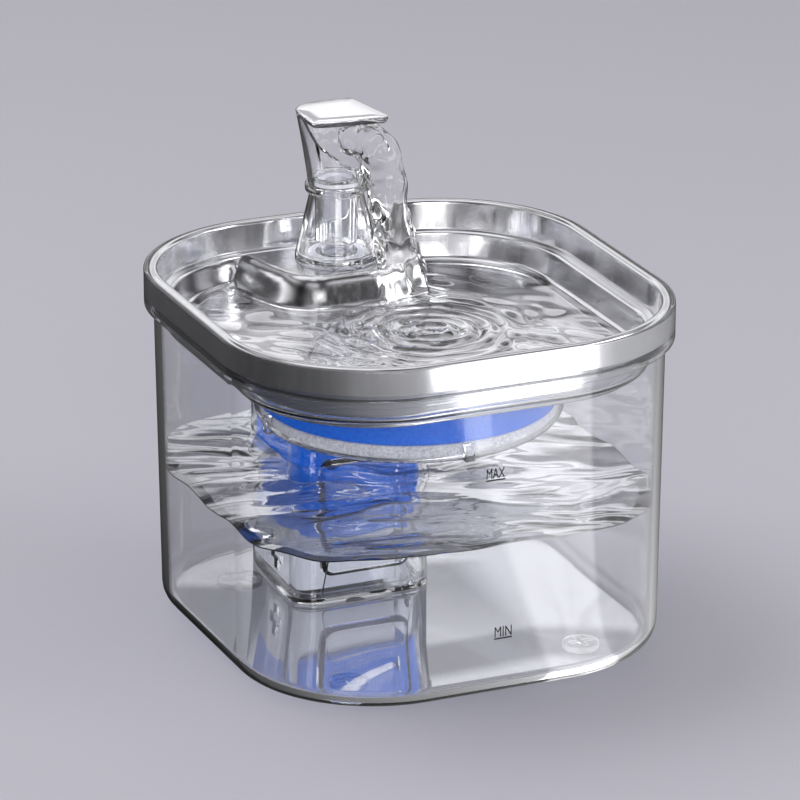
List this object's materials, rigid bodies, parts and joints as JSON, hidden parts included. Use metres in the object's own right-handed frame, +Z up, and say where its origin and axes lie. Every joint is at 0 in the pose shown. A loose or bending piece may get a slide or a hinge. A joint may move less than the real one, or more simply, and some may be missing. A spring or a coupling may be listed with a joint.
{
  "type": "pet water fountain",
  "caption": "Clear rounded-square pet water fountain with a steel drinking tray, a tap-shaped spout, a round filter in a clear cup and a submerged pump in a clear box.",
  "frame": {"origin": "on the floor under the middle of the tank", "axes": "+Z up, -Y towards the side with the level marks, where the animal drinks, +X to the right seen from there"},
  "size_m": [0.174, 0.184, 0.1807],
  "materials": {
    "clear_tank": "clear injection-moulded plastic, high gloss",
    "clear_inner": "clear injection-moulded plastic, gloss",
    "clear_spout": "thick clear plastic, high gloss",
    "clear_feet": "clear silicone, soft gloss",
    "polished_steel": "pressed stainless steel, polished inside with a fine brushed skirt",
    "blue_foam": "open-cell foam, cobalt blue",
    "white_cotton": "speckled white filter cotton",
    "carbon_granules": "carbon and resin granules",
    "dark_rubber": "soft rubber",
    "white_silicone": "translucent white silicone",
    "pump_plastic": "pale moulded plastic",
    "white_plastic": "white moulded plastic",
    "magnet_ferrite": "ground ferrite",
    "shaft_ceramic": "ground ceramic",
    "core_steel": "laminated steel",
    "coil_copper": "enamelled copper winding"
  },
  "bodies": {
    "root": {"tank": "clear_tank", "foot_front_left": "clear_feet", "foot_front_right": "clear_feet", "foot_rear_left": "clear_feet", "foot_rear_right": "clear_feet", "pump_box": "clear_inner", "pump_box_base": "clear_inner", "intake_hatch": "clear_inner", "pump_sponge": "blue_foam", "cable_gland": "dark_rubber", "pump_housing": "pump_plastic", "pump_faceplate": "pump_plastic", "pump_feet": "dark_rubber", "stator_core": "core_steel", "stator_coil": "coil_copper", "rotor_shaft": "shaft_ceramic", "front_bush": "dark_rubber", "rear_bush": "dark_rubber", "riser_tube": "clear_inner", "riser_seal": "white_silicone"},
    "filter_unit": {"filter_tray": "clear_inner", "filter_cotton": "white_cotton", "filter_granules": "carbon_granules", "filter_foam": "blue_foam", "filter_cover": "white_cotton"},
    "drinking_unit": {"drinking_tray": "polished_steel"},
    "spout_stand": {"spout_base": "clear_spout", "spout_seal": "white_silicone", "swivel_seal": "white_silicone"},
    "spout_top": {"spout_head": "clear_spout"},
    "rotor": {"impeller": "white_plastic", "rotor_magnet": "magnet_ferrite"}
  },
  "joints": [
    {"name": "filter_tray_lift", "type": "slide", "parent": "root", "child": "filter_unit", "axis": [0, 0, 1], "range_m": [0, 0.06]},
    {"name": "tray_lift", "type": "slide", "parent": "filter_unit", "child": "drinking_unit", "axis": [0, 0, 1], "range_m": [0, 0.03]},
    {"name": "spout_lift", "type": "slide", "parent": "drinking_unit", "child": "spout_stand", "axis": [0, 0, 1], "range_m": [0, 0.035]},
    {"name": "spout_swivel", "type": "hinge", "parent": "spout_stand", "child": "spout_top", "pos_m": [0, 0.0675, 0.1524], "axis": [0, 0, 1], "range_deg": [-105, 15]},
    {"name": "impeller_spin", "type": "hinge", "parent": "root", "child": "rotor", "pos_m": [0, 0.0596, 0.0207], "axis": [1, 0, 0], "continuous": true}
  ]
}
